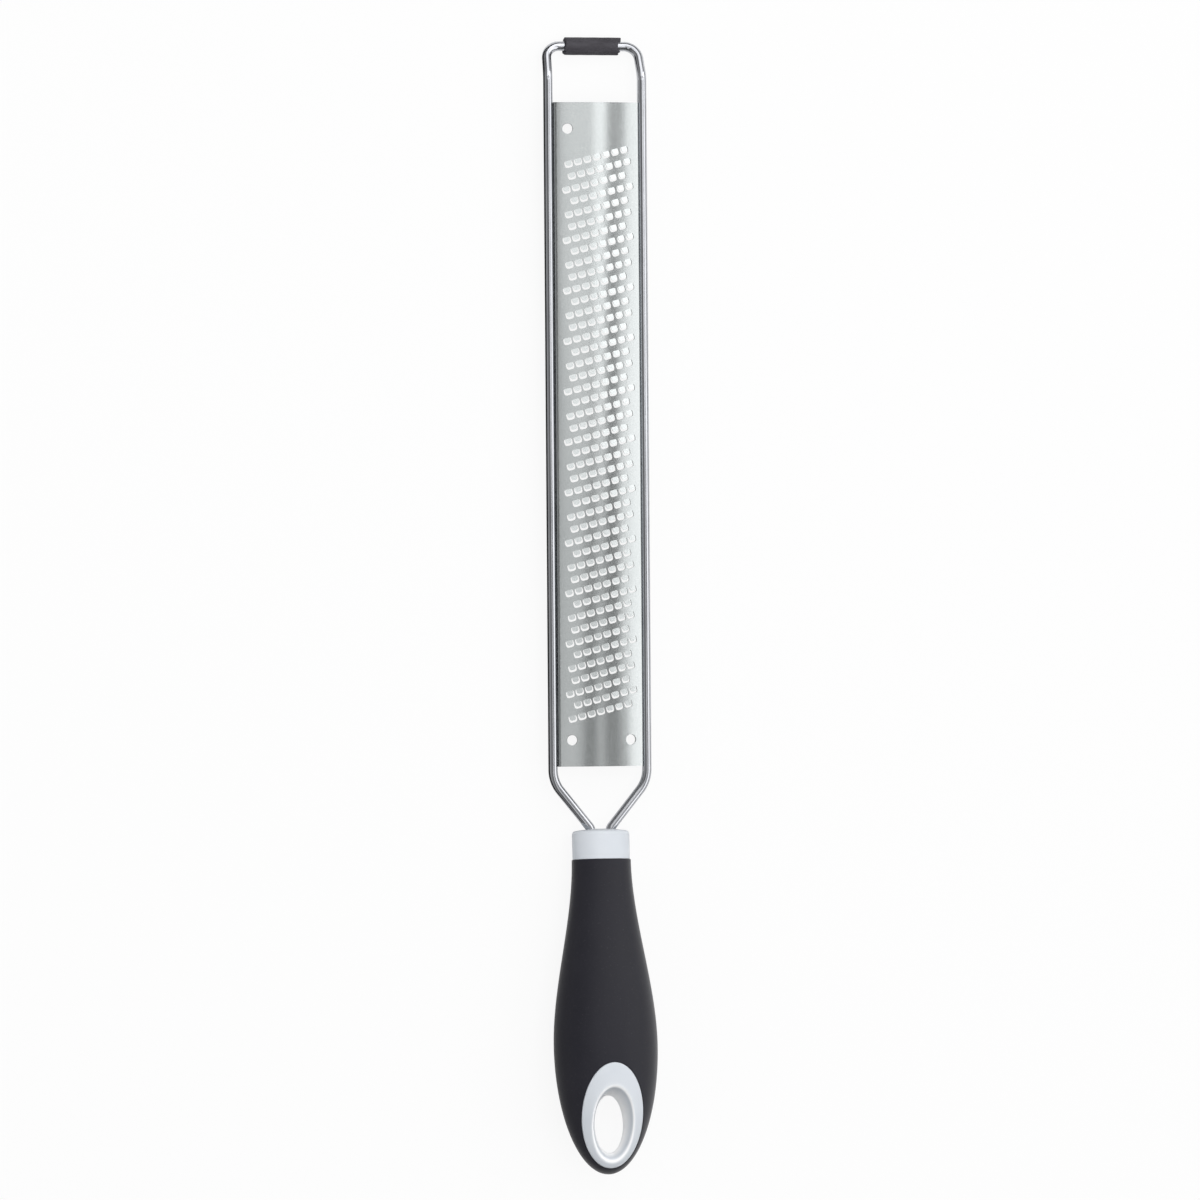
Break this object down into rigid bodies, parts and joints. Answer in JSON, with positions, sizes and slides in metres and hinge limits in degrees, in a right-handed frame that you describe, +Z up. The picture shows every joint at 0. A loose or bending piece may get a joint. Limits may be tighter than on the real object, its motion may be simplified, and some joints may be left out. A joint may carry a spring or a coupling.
{
  "type": "rasp zester",
  "caption": "Long slim hand grater: toothed steel channel held in a bent wire frame, with a rubber foot and a soft oval handle with a hang hole.",
  "frame": {"origin": "on the table, under the middle of the tool's length and width", "axes": "+Y along the tool towards its rubber foot, +Z up, square to the table, +X across it to the right when the toothed face is seen from above with the foot at the top"},
  "size_m": [0.036, 0.3864, 0.0261],
  "materials": {
    "wire": "polished steel wire, bright with long reflections",
    "blade": "rolled stainless sheet, softly reflecting with a fine grain",
    "foot_rubber": "matte dark rubber with raggedly cut ends",
    "core_plastic": "light grey moulding with a soft sheen",
    "grip_rubber": "charcoal soft-touch rubber"
  },
  "bodies": {
    "root": {"wire_frame": "wire", "rasp_blade": "blade", "foot_sleeve": "foot_rubber", "handle_core": "core_plastic", "grip": "grip_rubber"}
  },
  "joints": []
}
